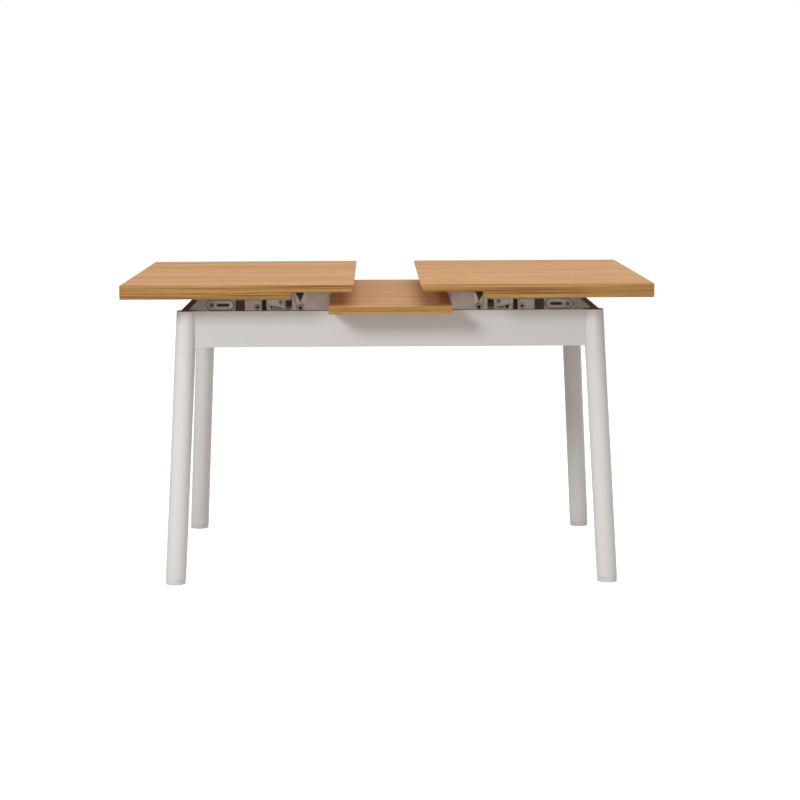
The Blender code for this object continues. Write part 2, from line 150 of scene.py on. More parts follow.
class TableStage(bpy.types.PropertyGroup):
    """Camera and lights."""

    camera_place: bpy.props.FloatVectorProperty(
        name="Camera place",
        description="Where the camera stands",
        default=(-0.0401, -5.0513, 1.1593),
        subtype="TRANSLATION",
        unit="LENGTH",
        size=3,
    )
    camera_pan: angle_setting("Pan", "Turn of the camera to the right", 0.0133)
    camera_tilt: angle_setting("Tilt", "Tilt of the camera below level", 0.1461)
    camera_roll: angle_setting("Roll", "Roll of the camera", -0.0041)
    lens: bpy.props.FloatProperty(
        name="Lens",
        description="Focal length of the camera in millimetres on a 36 mm sensor",
        default=85.82,
        min=20,
        max=300,
    )
    key_power: power_setting("Key light", "Power of the soft light at the front left, in watts", 116)
    fill_power: power_setting("Fill light", "Power of the wide light overhead, in watts", 56)
    front_power: power_setting("Front light", "Power of the soft light beside the camera, in watts", 13)
    back_power: power_setting("Back light", "Power of the soft light at the back right, in watts", 105)
    sky_strength: bpy.props.FloatProperty(
        name="Sky strength",
        description="Brightness of the even surroundings as a light",
        default=0.43,
        min=0,
        max=5,
    )


# Mesh helpers


SHARP_ANGLE = math.radians(35)
LATHE_SEGMENTS = 28
WIRE_SIDES = 8
ROUND_END_STEPS = 10
CORNER_STEPS = 5


def finish_piece(name, shape, body, *materials):
    """Turns a bmesh into an object that rides on a body of the frame."""
    bmesh.ops.recalc_face_normals(shape, faces=shape.faces)
    mesh = bpy.data.meshes.new(name)
    shape.to_mesh(mesh)
    shape.free()
    mesh.shade_smooth()
    mesh.set_sharp_from_angle(angle=SHARP_ANGLE)
    for material in materials:
        mesh.materials.append(material)
    piece = bpy.data.objects.new(name, mesh)
    bpy.context.scene.collection.objects.link(piece)
    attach(piece, body)
    return piece


def axis_matrix(centre, towards):
    """A frame at a point whose Z axis looks along a direction."""
    turn = Vector(towards).to_track_quat("Z", "Y").to_matrix().to_4x4()
    return Matrix.Translation(Vector(centre)) @ turn


def skin(shape, lower, upper, slot):
    """Adds the faces between two rings that have the same number of points."""
    for index in range(len(lower)):
        after = (index + 1) % len(lower)
        face = shape.faces.new((lower[index], lower[after], upper[after], upper[index]))
        face.material_index = slot


def cap(shape, rings, slot):
    """Closes the first and the last ring, unless they are points."""
    for ring in (rings[0], rings[-1]):
        if len(ring) > 1:
            shape.faces.new(ring).material_index = slot


def lathe(shape, profile, place, segments=LATHE_SEGMENTS, slot=0):
    """Adds a turned solid. The profile runs from one end to the other as (radius, height) points."""
    rings = []
    for radius, height in profile:
        if radius < 1e-6:
            rings.append([shape.verts.new(place @ Vector((0, 0, height)))])
            continue
        ring = []
        for index in range(segments):
            turn = 2 * math.pi * index / segments
            point = Vector((radius * math.cos(turn), radius * math.sin(turn), height))
            ring.append(shape.verts.new(place @ point))
        rings.append(ring)
    for lower, upper in zip(rings, rings[1:]):
        if len(lower) > 1 and len(upper) > 1:
            skin(shape, lower, upper, slot)
            continue
        for index in range(segments):
            after = (index + 1) % segments
            if len(lower) == 1:
                corners = (lower[0], upper[after], upper[index])
            else:
                corners = (lower[index], lower[after], upper[0])
            shape.faces.new(corners).material_index = slot
    cap(shape, rings, slot)


def slab(shape, outline, place, low, high, round_edge=0.0, slot=0):
    """Adds a flat outline thickened from low to high along the place's Z axis, with softened rims."""
    count = len(outline)
    middle = Vector((sum(p[0] for p in outline) / count, sum(p[1] for p in outline) / count, 0))
    levels = [(low, 0.0), (high, 0.0)]
    if round_edge:
        levels = [(low, 0.0), (high - round_edge, 0.0), (high - round_edge * 0.3, 0.3), (high, 1.0)]
    rings = []
    for height, inset in levels:
        ring = []
        for x, y in outline:
            flat = Vector((x, y, 0))
            pull = (middle - flat).normalized() * round_edge * inset
            ring.append(shape.verts.new(place @ (flat + pull + Vector((0, 0, height)))))
        rings.append(ring)
    for lower, upper in zip(rings, rings[1:]):
        skin(shape, lower, upper, slot)
    cap(shape, rings, slot)


def tube(shape, points, radius, closed=False, slot=0):
    """Adds a round wire along a path."""
    count = len(points)
    rings = []
    normal = Vector((0, 1, 0))
    for index, point in enumerate(points):
        before = points[index - 1] if index or closed else point
        after = points[(index + 1) % count] if index < count - 1 or closed else point
        along = (after - before).normalized()
        across = along.cross(normal).normalized()
        lift = along.cross(across)
        ring = []
        for step in range(WIRE_SIDES):
            turn = 2 * math.pi * step / WIRE_SIDES
            reach = across * math.cos(turn) + lift * math.sin(turn)
            ring.append(shape.verts.new(point + reach * radius))
        rings.append(ring)
    pairs = list(zip(rings, rings[1:]))
    if closed:
        pairs.append((rings[-1], rings[0]))
    for lower, upper in pairs:
        skin(shape, lower, upper, slot)
    if not closed:
        cap(shape, rings, slot)


def stadium(centre, half_length, radius):
    """A flat outline with two straight sides and round ends."""
    points = []
    for end in (1, -1):
        for index in range(ROUND_END_STEPS + 1):
            turn = math.pi * (index / ROUND_END_STEPS - 0.5) + (0 if end > 0 else math.pi)
            x = centre[0] + end * half_length + radius * math.cos(turn)
            points.append((x, centre[1] + radius * math.sin(turn)))
    return points


def round_rectangle(low, high, radius):
    """A rectangle's outline with round corners."""
    x_low, x_high = sorted((low[0], high[0]))
    y_low, y_high = sorted((low[1], high[1]))
    corners = [(x_high, y_high), (x_low, y_high), (x_low, y_low), (x_high, y_low)]
    points = []
    for quarter, (x, y) in enumerate(corners):
        x_centre = x - radius if x == x_high else x + radius
        y_centre = y - radius if y == y_high else y + radius
        for index in range(CORNER_STEPS + 1):
            turn = math.pi / 2 * (quarter + index / CORNER_STEPS)
            points.append((x_centre + radius * math.cos(turn), y_centre + radius * math.sin(turn)))
    return points


def front_place(y, y_sign):
    """A frame whose X is world X and whose Y is world Z, looking out through the front or the back at y."""
    columns = [Vector((1, 0, 0)), Vector((0, 0, 1)), Vector((0, y_sign, 0))]
    turn = Matrix(columns).transposed().to_4x4()
    return Matrix.Translation(Vector((0, y, 0))) @ turn


def add_screw(shape, centre, towards, radius):
    """Adds a pan-head screw in the first material, with its cross recess drawn as a dark raised cross of
    painted shade in the second.
    """
    place = axis_matrix(centre, towards)
    rise = radius * 0.55
    profile = [
        (radius, -0.0002),
        (radius, rise * 0.25),
        (radius * 0.93, rise * 0.6),
        (radius * 0.7, rise * 0.9),
        (radius * 0.35, rise),
        (0, rise),
    ]
    lathe(shape, profile, place, segments=20)
    # The recess is not cut: a dark cross standing proud of the head is painted shade.
    arm = radius * 0.55
    width = radius * 0.13
    corners = [(arm, width), (width, width), (width, arm)]
    outline = []
    for quarter in range(4):
        turn = Matrix.Rotation(math.pi / 2 * quarter, 2)
        outline += [tuple(turn @ Vector(corner)) for corner in corners]
    slab(shape, outline, place, rise * 0.8, rise * 1.03, slot=1)


def add_socket_bolt(shape, centre, towards, radius, washer, slot=0):
    """Adds a washer over a slightly wider dark ring of painted shadow, and on it a socket-head bolt; the
    ring and the bolt are in the second material.
    """
    place = axis_matrix(centre, towards)
    # A dark ring a little wider than the washer: a painted shadow that outlines it.
    shadow_ring = [(washer + 0.0011, 0), (washer + 0.0011, 0.0006), (radius * 0.8, 0.0006), (radius * 0.8, 0)]
    lathe(shape, shadow_ring, place, slot=1)
    ring = [
        (radius * 0.8, 0),
        (washer, 0),
        (washer, 0.0011),
        (washer - 0.0003, 0.0014),
        (radius * 0.8, 0.0014),
    ]
    lathe(shape, ring, place, slot=slot)
    head = [
        (radius, 0.0012),
        (radius, 0.0036),
        (radius - 0.0006, 0.0043),
        (radius * 0.62, 0.0043),
        (radius * 0.55, 0.0020),
        (0, 0.0020),
    ]
    lathe(shape, head, place, slot=1)


# Shader helpers

MIX_FACTOR = 0
MIX_FIRST_COLOUR = 6
MIX_SECOND_COLOUR = 7
MIX_RESULT_COLOUR = 2
FACE_TURN_LOW = 0.75
FACE_TURN_HIGH = 0.85
BARE_ROUGHNESS = 0.9


def feed(tree, socket, value):
    """Links an output to a socket, or sets the socket to a plain value."""
    if isinstance(value, bpy.types.NodeSocket):
        tree.links.new(value, socket)
    else:
        socket.default_value = value


def add_node(tree, kind, place, **sockets):
    """Adds a shader node. Each keyword feeds the input of that name."""
    node = tree.nodes.new(kind)
    node.location = place
    for name, value in sockets.items():
        feed(tree, node.inputs[name.replace("_", " ")], value)
    return node


def math_node(tree, operation, place, first, second=0.0):
    node = tree.nodes.new("ShaderNodeMath")
    node.operation = operation
    node.location = place
    for socket, value in zip(node.inputs, (first, second)):
        feed(tree, socket, value)
    return node.outputs[0]


def mix_colour(tree, place, factor, first, second, blend="MIX"):
    node = tree.nodes.new("ShaderNodeMix")
    node.data_type = "RGBA"
    node.blend_type = blend
    node.location = place
    feed(tree, node.inputs[MIX_FACTOR], factor)
    feed(tree, node.inputs[MIX_FIRST_COLOUR], first)
    feed(tree, node.inputs[MIX_SECOND_COLOUR], second)
    return node.outputs[MIX_RESULT_COLOUR]


def scaled(tree, place, vector, scale, shift=(0, 0, 0)):
    """The vector stretched along each axis and moved."""
    return add_node(tree, "ShaderNodeMapping", place, Vector=vector, Scale=scale, Location=shift).outputs[0]


def noise(tree, place, vector, scale=1.0, detail=3.0, roughness=0.5):
    """Soft noise whose scale, detail and roughness are given."""
    sockets = {"Vector": vector, "Scale": scale, "Detail": detail, "Roughness": roughness}
    return add_node(tree, "ShaderNodeTexNoise", place, **sockets).outputs["Fac"]


def ramp(tree, place, value, low, high):
    """Maps low..high to 0..1 and clamps it."""
    return add_node(tree, "ShaderNodeMapRange", place, Value=value, From_Min=low, From_Max=high).outputs[0]


def new_group(name, inputs, outputs):
    """Makes an empty node group with named sockets. Each input is (name, kind, default)."""
    group = bpy.data.node_groups.new(name, "ShaderNodeTree")
    for label, kind, default in inputs:
        socket = group.interface.new_socket(name=label, in_out="INPUT", socket_type=kind)
        if default is not None:
            socket.default_value = default
    for label, kind in outputs:
        group.interface.new_socket(name=label, in_out="OUTPUT", socket_type=kind)
    entry = group.nodes.new("NodeGroupInput")
    entry.location = (-900, 0)
    leave = group.nodes.new("NodeGroupOutput")
    leave.location = (900, 0)
    return group, entry, leave


def leave_group(group, leave, **values):
    """Links each value to the group's output of that name and hands the group back."""
    for name, value in values.items():
        group.links.new(value, leave.inputs[name])
    return group


def place_group(tree, group, place, **sockets):
    """Adds a node that holds a group. Each keyword feeds the input of that name."""
    node = tree.nodes.new("ShaderNodeGroup")
    node.node_tree = group
    node.location = place
    for name, value in sockets.items():
        feed(tree, node.inputs[name.replace("_", " ")], value)
    return node


def face_masks():
    """Group: masks of the faces that look up, down and to the ends."""
    if "Face Masks" in bpy.data.node_groups:
        return bpy.data.node_groups["Face Masks"]
    outputs = [("Up", "NodeSocketFloat"), ("Down", "NodeSocketFloat"), ("End", "NodeSocketFloat")]
    group, entry, leave = new_group("Face Masks", [("Normal", "NodeSocketVector", None)], outputs)
    split = add_node(group, "ShaderNodeSeparateXYZ", (-600, 0), Vector=entry.outputs["Normal"])
    up = ramp(group, (-300, 200), split.outputs["Z"], FACE_TURN_LOW, FACE_TURN_HIGH)
    fall = math_node(group, "MULTIPLY", (-450, 0), split.outputs["Z"], -1.0)
    down = ramp(group, (-300, 0), fall, FACE_TURN_LOW, FACE_TURN_HIGH)
    across = math_node(group, "ABSOLUTE", (-450, -200), split.outputs["X"])
    end = ramp(group, (-300, -200), across, FACE_TURN_LOW, FACE_TURN_HIGH)
    return leave_group(group, leave, Up=up, Down=down, End=end)


# Each grain layer: its place in the node editor, stretch along X, Y and Z, detail, roughness and cut-offs.
GRAIN_LAYERS = {
    "Band": (350, (0.9, 26, 26), 4, 0.55, 0.33, 0.68),
    "Line": (100, (2.2, 150, 150), 5, 0.7, 0.48, 0.66),
    "Pore": (-150, (26, 1100, 1100), 2, 0.5, 0.60, 0.72),
}


def wood_grain():
    """Group: grain that runs along X, from broad bands to fine lines and pores."""
    if "Wood Grain" in bpy.data.node_groups:
        return bpy.data.node_groups["Wood Grain"]
    inputs = [
        ("Vector", "NodeSocketVector", None),
        ("Light", "NodeSocketColor", (0.6, 0.4, 0.2, 1)),
        ("Dark", "NodeSocketColor", (0.4, 0.2, 0.1, 1)),
        ("Band Contrast", "NodeSocketFloat", 0.5),
        ("Line Contrast", "NodeSocketFloat", 0.5),
        ("Pore Contrast", "NodeSocketFloat", 0.5),
        ("Sway", "NodeSocketFloat", 0.05),
    ]
    outputs = [("Color", "NodeSocketColor"), ("Mask", "NodeSocketFloat"), ("Height", "NodeSocketFloat")]
    group, entry, leave = new_group("Wood Grain", inputs, outputs)
    vector = entry.outputs["Vector"]
    sway = noise(group, (-650, 300), scaled(group, (-800, 300), vector, (1.4, 5, 5)), detail=2)
    centred = math_node(group, "SUBTRACT", (-560, 300), sway, 0.5)
    offset = math_node(group, "MULTIPLY", (-500, 300), centred, entry.outputs["Sway"])
    shift = add_node(group, "ShaderNodeCombineXYZ", (-400, 300), Y=offset, Z=offset)
    moved = group.nodes.new("ShaderNodeVectorMath")
    moved.operation = "ADD"
    moved.location = (-250, 300)
    group.links.new(vector, moved.inputs[0])
    group.links.new(shift.outputs[0], moved.inputs[1])
    swayed = moved.outputs[0]
    parts = []
    for layer, (height, stretch, detail, roughness, low, high) in GRAIN_LAYERS.items():
        stretched = scaled(group, (-120, height), swayed, stretch)
        pattern = noise(group, (0, height), stretched, detail=detail, roughness=roughness)
        layer_mask = ramp(group, (200, height), pattern, low, high)
        contrast = entry.outputs[f"{layer} Contrast"]
        parts.append(math_node(group, "MULTIPLY", (380, height), layer_mask, contrast))
    band_part, line_part, pore_part = parts
    broad = math_node(group, "ADD", (460, 250), band_part, line_part)
    grain = math_node(group, "ADD", (520, 200), broad, pore_part)
    mask = math_node(group, "MINIMUM", (600, 200), grain, 1.0)
    colour = mix_colour(group, (700, 200), mask, entry.outputs["Light"], entry.outputs["Dark"])
    height = math_node(group, "SUBTRACT", (700, -100), 1.0, pore_part)
    return leave_group(group, leave, Color=colour, Mask=mask, Height=height)


def soft_mottle():
    """Group: slow drift of tone with a fine tooth, for painted, laminated and plated faces."""
    if "Soft Mottle" in bpy.data.node_groups:
        return bpy.data.node_groups["Soft Mottle"]
    inputs = [
        ("Vector", "NodeSocketVector", None),
        ("Color", "NodeSocketColor", (0.8, 0.8, 0.8, 1)),
        ("Tint", "NodeSocketColor", (0.7, 0.7, 0.7, 1)),
        ("Amount", "NodeSocketFloat", 0.3),
        ("Patch Size", "NodeSocketFloat", 8.0),
        ("Tooth Size", "NodeSocketFloat", 900.0),
    ]
    outputs = [("Color", "NodeSocketColor"), ("Mask", "NodeSocketFloat"), ("Height", "NodeSocketFloat")]
    group, entry, leave = new_group("Soft Mottle", inputs, outputs)
    vector = entry.outputs["Vector"]
    patches = noise(group, (-500, 200), vector, entry.outputs["Patch Size"], 4.0)
    tooth = noise(group, (-500, -100), vector, entry.outputs["Tooth Size"], 2.0)
    patch_mask = ramp(group, (-250, 200), patches, 0.35, 0.7)
    mask = math_node(group, "MULTIPLY", (0, 200), patch_mask, entry.outputs["Amount"])
    colour = mix_colour(group, (250, 200), mask, entry.outputs["Color"], entry.outputs["Tint"])
    return leave_group(group, leave, Color=colour, Mask=patch_mask, Height=tooth)


def chip_speckle():
    """Group: pressed wood chips as they show on an uncovered board edge."""
    if "Chip Speckle" in bpy.data.node_groups:
        return bpy.data.node_groups["Chip Speckle"]
    inputs = [
        ("Vector", "NodeSocketVector", None),
        ("Color", "NodeSocketColor", (0.3, 0.2, 0.1, 1)),
        ("Chip Size", "NodeSocketFloat", 350.0),
    ]
    outputs = [("Color", "NodeSocketColor"), ("Height", "NodeSocketFloat")]
    group, entry, leave = new_group("Chip Speckle", inputs, outputs)
    stretched = scaled(group, (-700, 0), entry.outputs["Vector"], (1, 1, 1.6))
    size = entry.outputs["Chip Size"]
    chips = add_node(group, "ShaderNodeTexVoronoi", (-500, 100), Vector=stretched, Scale=size)
    tone = add_node(group, "ShaderNodeSeparateColor", (-250, 100), Color=chips.outputs["Color"])
    value = ramp(group, (-50, 100), tone.outputs[0], -0.6, 1.2)
    light = mix_colour(group, (150, 250), 1.0, entry.outputs["Color"], (1.6, 1.55, 1.5, 1), "MULTIPLY")
    dark = mix_colour(group, (150, 0), 1.0, entry.outputs["Color"], (0.45, 0.4, 0.36, 1), "MULTIPLY")
    colour = mix_colour(group, (400, 100), value, dark, light)
    return leave_group(group, leave, Color=colour, Height=chips.outputs["Distance"])


def new_material(name):
    """A material with its shader and the object's own coordinates."""
    material = bpy.data.materials.new(name)
    material.use_nodes = True
    tree = material.node_tree
    shader = tree.nodes["Principled BSDF"]
    shader.location = (900, 200)
    tree.nodes["Material Output"].location = (1200, 200)
    place = tree.nodes.new("ShaderNodeTexCoord")
    place.location = (-1000, 0)
    return material, tree, shader, place.outputs["Object"]


def add_bump(tree, shader, height, strength, distance):
    """Relief of the given depth in metres on the shader's normal."""
    relief = {"Strength": strength, "Distance": distance, "Height": height}
    bump = add_node(tree, "ShaderNodeBump", (650, -200), **relief)
    tree.links.new(bump.outputs["Normal"], shader.inputs["Normal"])


def opaque(colour):
    return (*colour, 1)


def add_face_masks(tree):
    """Masks of the flat faces, taken from the true normal."""
    normal = tree.nodes.new("ShaderNodeNewGeometry")
    normal.location = (-1000, -300)
    return place_group(tree, face_masks(), (-750, -300), Normal=normal.outputs["True Normal"])


def vary_roughness(tree, shader, place, mask, low, high):
    """Runs the shader's roughness from low to high along a mask."""
    rough = add_node(tree, "ShaderNodeMapRange", place, Value=mask, To_Min=low, To_Max=high)
    tree.links.new(rough.outputs[0], shader.inputs["Roughness"])


def oak_board(name, seed, finish):
    """Oak-veneered board: quiet grain on the face, a golden band with bold lines round the edge."""
    material, tree, shader, vector = new_material(name)
    masks = add_face_masks(tree)
    split = add_node(tree, "ShaderNodeSeparateXYZ", (-850, 150), Vector=vector)
    swapped = {"X": split.outputs["Y"], "Y": split.outputs["X"], "Z": split.outputs["Z"]}
    turned = add_node(tree, "ShaderNodeCombineXYZ", (-700, 150), **swapped)
    along = mix_colour(tree, (-550, 100), masks.outputs["End"], vector, turned.outputs[0])
    seeded = scaled(tree, (-400, 100), along, (1, 1, 1), (seed * 3.7, seed * 1.9, seed * 0.83))
    shades = {"Light": opaque(finish.oak_light), "Dark": opaque(finish.oak_dark)}
    contrasts = {"Band_Contrast": 0.72, "Line_Contrast": 0.80, "Pore_Contrast": 0.30}
    face = place_group(tree, wood_grain(), (-100, 300), Vector=seeded, **shades, **contrasts)
    edge_vector = scaled(tree, (-250, -100), seeded, (0.8, 1, 2.4))
    shades = {"Light": opaque(finish.edge_light), "Dark": opaque(finish.edge_dark), "Sway": 0.008}
    contrasts = {"Band_Contrast": 0.46, "Line_Contrast": 1.0, "Pore_Contrast": 0.20}
    edge = place_group(tree, wood_grain(), (-100, -100), Vector=edge_vector, **shades, **contrasts)
    flat = math_node(tree, "ADD", (-500, -400), masks.outputs["Up"], masks.outputs["Down"])
    colour = mix_colour(tree, (400, 200), flat, edge.outputs["Color"], face.outputs["Color"])
    tree.links.new(colour, shader.inputs["Base Color"])
    grain = mix_colour(tree, (400, -50), flat, edge.outputs["Mask"], face.outputs["Mask"])
    vary_roughness(tree, shader, (600, 0), grain, 0.44, 0.56)
    height = mix_colour(tree, (400, -300), flat, edge.outputs["Height"], face.outputs["Height"])
    add_bump(tree, shader, height, 0.35, 0.0004)
    shader.inputs["Specular IOR Level"].default_value = 0.22
    return material


def coated_wood(name, paint, stretch, chips, roughness, **pattern):
    """A smooth white coat with bare wood on the faces that look up."""
    material, tree, shader, vector = new_material(name)
    up = add_face_masks(tree).outputs["Up"]
    stretched = scaled(tree, (-600, 300), vector, stretch)
    face = place_group(tree, soft_mottle(), (-300, 300), Vector=stretched, Color=opaque(paint), **pattern)
    raw = place_group(tree, chip_speckle(), (-300, -100), Vector=vector, **chips)
    colour = mix_colour(tree, (200, 200), up, face.outputs["Color"], raw.outputs["Color"])
    tree.links.new(colour, shader.inputs["Base Color"])
    vary_roughness(tree, shader, (400, 0), up, roughness, BARE_ROUGHNESS)
    return material, tree, shader, up, face.outputs["Height"], raw.outputs["Height"]


def white_board(finish):
    """Melamine-faced chipboard whose top edge is left uncovered."""
    pattern = {"Tint": (0.60, 0.59, 0.60, 1), "Amount": 0.35, "Patch_Size": 5.0, "Tooth_Size": 1400.0}
    chips = {"Color": opaque(finish.raw_board)}
    made = coated_wood("White melamine board", finish.board_white, (1, 1, 1), chips, 0.48, **pattern)
    material, tree, shader, up, face_height, raw_height = made
    height = mix_colour(tree, (200, -200), up, face_height, raw_height)
    add_bump(tree, shader, height, 0.15, 0.0003)
    return material


def leg_lacquer(finish):
    """White lacquer over a turned leg, with the bare end of the wood on top."""
    pattern = {"Tint": (0.64, 0.63, 0.62, 1), "Amount": 0.30, "Patch_Size": 18.0, "Tooth_Size": 420.0}
    chips = {"Color": opaque(finish.raw_board), "Chip_Size": 260.0}
    made = coated_wood("White lacquer", finish.lacquer_white, (1, 1, 0.12), chips, 0.34, **pattern)
    material, tree, shader, _, face_height, _ = made
    add_bump(tree, shader, face_height, 0.10, 0.0003)
    shader.inputs["Coat Roughness"].default_value = 0.2
    shader.inputs["Coat Weight"].default_value = 0.15
    return material


def mottled(name, colour, tint, stretch, roughness, spread, metallic, **pattern):
    """A surface with a slow drift of tone, a fine tooth and slightly uneven gloss."""
    material, tree, shader, vector = new_material(name)
    stretched = scaled(tree, (-600, 100), vector, stretch)
    shades = {"Color": opaque(colour), "Tint": opaque(tint)}
    face = place_group(tree, soft_mottle(), (-300, 200), Vector=stretched, **shades, **pattern)
    tree.links.new(face.outputs["Color"], shader.inputs["Base Color"])
    shader.inputs["Metallic"].default_value = metallic
    vary_roughness(tree, shader, (300, 0), face.outputs["Mask"], roughness, roughness + spread)
    add_bump(tree, shader, face.outputs["Height"], 0.12, 0.0002)
    return material


def zinc_plate(name, colour, tint, roughness):
    """Zinc-plated or ground steel with a slight bloom and fine rolling marks along X."""
    pattern = {"Amount": 0.8, "Patch_Size": 90.0, "Tooth_Size": 1600.0}
    return mottled(name, colour, tint, (0.15, 1, 1), roughness, 0.18, 0.5, **pattern)


def moulded(name, colour, tint, roughness):
    """Moulded plastic, rubber or paint with a faint texture."""
    pattern = {"Amount": 0.7, "Patch_Size": 60.0, "Tooth_Size": 2200.0}
    return mottled(name, colour, tint, (1, 1, 1), roughness, 0.12, 0.0, **pattern)


def bare_wood(finish):
    """Unfinished hardwood for the blocks inside the corners."""
    material, tree, shader, vector = new_material("Bare beech")
    shades = {"Light": (0.50, 0.33, 0.19, 1), "Dark": opaque(finish.oak_dark)}
    contrasts = {"Band_Contrast": 0.3, "Line_Contrast": 0.4, "Pore_Contrast": 0.4}
    grain = place_group(tree, wood_grain(), (-300, 200), Vector=vector, **shades, **contrasts)
    tree.links.new(grain.outputs["Color"], shader.inputs["Base Color"])
    shader.inputs["Roughness"].default_value = 0.75
    add_bump(tree, shader, grain.outputs["Height"], 0.3, 0.0004)
    return material


MOULDINGS = {
    "Foot plastic": ((0.70, 0.69, 0.68), (0.62, 0.61, 0.60), 0.5),
    "Cover paint": ((0.84, 0.80, 0.785), (0.76, 0.72, 0.705), 0.5),
    # Black oxide also serves as the dark sheets, rings and wires of painted shade and shadow.
    "Black oxide": ((0.030, 0.027, 0.025), (0.06, 0.055, 0.05), 0.42),
    "Black rubber": ((0.022, 0.017, 0.014), (0.040, 0.032, 0.026), 0.6),
    # Lighter rubber for the rib faces: a painted highlight, the lit copy of the black rubber.
    "Worn rubber": ((0.19, 0.148, 0.118), (0.11, 0.086, 0.068), 0.6),
    "White nylon": ((0.82, 0.785, 0.745), (0.70, 0.66, 0.62), 0.5),
}


def moulding(name):
    """The moulded or painted material of that name, made the first time it is asked for."""
    return bpy.data.materials.get(name) or moulded(name, *MOULDINGS[name])


def zinc(context):
    colour = context.scene.table_finish.zinc
    made = bpy.data.materials.get("Zinc plate")
    return made or zinc_plate("Zinc plate", colour, (0.55, 0.53, 0.51), 0.40)


def ground_steel():
    made = bpy.data.materials.get("Ground steel")
    return made or zinc_plate("Ground steel", (0.66, 0.66, 0.67), (0.5, 0.5, 0.5), 0.2)


def dress(names, material):
    """Gives the CAD nodes whose names start so their material."""
    for name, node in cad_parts.items():
        if name.startswith(names):
            node.data.materials.clear()
            node.data.materials.append(material)


# Operators


class TABLE_OT_oak_boards(bpy.types.Operator):
    """Finish both halves, their edge strips and the leaf in oak"""

    bl_idname = "table.oak_boards"
    bl_label = "Oak Boards"

    def execute(self, context):
        finish = context.scene.table_finish
        for seed, side in enumerate(SIDES, start=1):
            strips = tuple(f"edge_strip_{place}_{side}" for place in ("front", "back", "end"))
            dress((f"table_top_{side}", *strips), oak_board(f"Oak {side}", seed, finish))
        dress(("extension_leaf",), oak_board("Oak leaf", 3.0, finish))
        return {"FINISHED"}


class TABLE_OT_frame_boards(bpy.types.Operator):
    """Finish the aprons, the slide beams and the corner blocks"""

    bl_idname = "table.frame_boards"
    bl_label = "Frame Boards"

    def execute(self, context):
        finish = context.scene.table_finish
        dress(("apron_", "slide_beam_"), white_board(finish))
        dress(("corner_block_",), bare_wood(finish))
        return {"FINISHED"}


class TABLE_OT_legs(bpy.types.Operator):
    """Finish the legs and their feet"""

    bl_idname = "table.legs"
    bl_label = "Legs"

    def execute(self, context):
        dress(("leg_",), leg_lacquer(context.scene.table_finish))
        dress(("foot_", "leaf_guide_block_"), moulding("Foot plastic"))
        return {"FINISHED"}


class TABLE_OT_mechanism(bpy.types.Operator):
    """Finish the slides, supports, brackets, arms, shafts, rods and springs"""

    bl_idname = "table.mechanism"
    bl_label = "Mechanism"

    def execute(self, context):
        dress(("slide_support_", "slide_channel_", "lift_bracket_", "lift_arm_"), zinc(context))
        dress(("slide_runner_", "slide_bar_"), zinc(context))
        dress(("lift_shaft_", "leaf_guide_rod_"), ground_steel())
        dress(("lift_spring_",), moulding("Black oxide"))
        return {"FINISHED"}


def link_outline(bolt, top, bolt_radius, top_radius):
    """A link's outline: a half circle beyond each of its two ends, joined by straight sides."""
    run = (Vector(top) - Vector(bolt)).normalized()
    across = Vector((-run.y, run.x))
    outline = []
    for centre, radius, start, steps in ((bolt, bolt_radius, -1, 12), (top, top_radius, 0, 8)):
        for index in range(steps + 1):
            turn = math.pi * (start + index / steps)
            reach = across * math.cos(turn) + run * math.sin(turn)
            outline.append(tuple(Vector(centre) + reach * radius))
    return outline


class TABLE_OT_bracket_links(bpy.types.Operator):
    """Build the bolt and the link on each lift bracket, with a dark sheet of painted shade for the
    bracket's V recess and a dark sheet of painted shadow under the link
    """

    bl_idname = "table.bracket_links"
    bl_label = "Bracket Links"

    def execute(self, context):
        hardware = context.scene.table_hardware
        for side, row, x_sign, y_sign in UNITS:
            low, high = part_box(f"lift_bracket_{row}_{side}")
            outer = high.y if y_sign > 0 else low.y
            face = front_place(outer, y_sign)
            middle = (low.x + high.x) / 2
            bolt = (middle - x_sign * 0.004, low.z + 0.063)
            shape = bmesh.new()
            # The dark V-shaped sheet is painted shade that stands for the recess in the bracket.
            pad = [
                (middle - 0.0150, high.z - 0.002),
                (middle - 0.0015, bolt[1] + 0.011),
                (middle + 0.0015, bolt[1] + 0.011),
                (middle + 0.0150, high.z - 0.002),
            ]
            slab(shape, pad, face, HAIR, V_RECESS_SHADE_SHEET, 0.0004, slot=1)
            top = (middle + x_sign * 0.0105, high.z - 0.006)
            # The wider outline, laid in the dark material under the link, is a painted shadow round the
            # link.
            outline = link_outline(bolt, top, 0.0090, 0.0036)
            link = link_outline(bolt, top, 0.0078, 0.0024)
            slab(shape, outline, face, V_RECESS_SHADE_SHEET + HAIR, LINK_SHADE_SHEET, slot=1)
            slab(shape, link, face, LINK_SHADE_SHEET, LINK_SHEET, 0.0005, slot=2)
            centre = (bolt[0], outer + y_sign * LINK_SHEET, bolt[1])
            head, washer = hardware.bolt_radius, hardware.washer_radius
            add_socket_bolt(shape, centre, (0, y_sign, 0), head, washer, slot=2)
            materials = (zinc(context), moulding("Black oxide"), moulding("White nylon"))
            finish_piece(f"bracket_link_{row}_{side}", shape, "frame", *materials)
        return {"FINISHED"}


class TABLE_OT_cover_plates(bpy.types.Operator):
    """Build the painted plate between each lift bracket and the leaf"""

    bl_idname = "table.cover_plates"
    bl_label = "Cover Plates"

    def execute(self, context):
        leaf_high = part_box("extension_leaf")[1]
        for side, row, x_sign, y_sign in UNITS:
            low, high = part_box(f"lift_bracket_{row}_{side}")
            outer = high.y if y_sign > 0 else low.y
            near = leaf_high.x + 0.004
            far = min(abs(low.x), abs(high.x)) - HAIR
            outline = round_rectangle((x_sign * near, low.z + 0.040), (x_sign * far, high.z - 0.002), 0.003)
            shape = bmesh.new()
            slab(shape, outline, front_place(outer, y_sign), -0.002, 0, 0.0005)
            finish_piece(f"cover_plate_{row}_{side}", shape, "frame", moulding("Cover paint"))
        return {"FINISHED"}


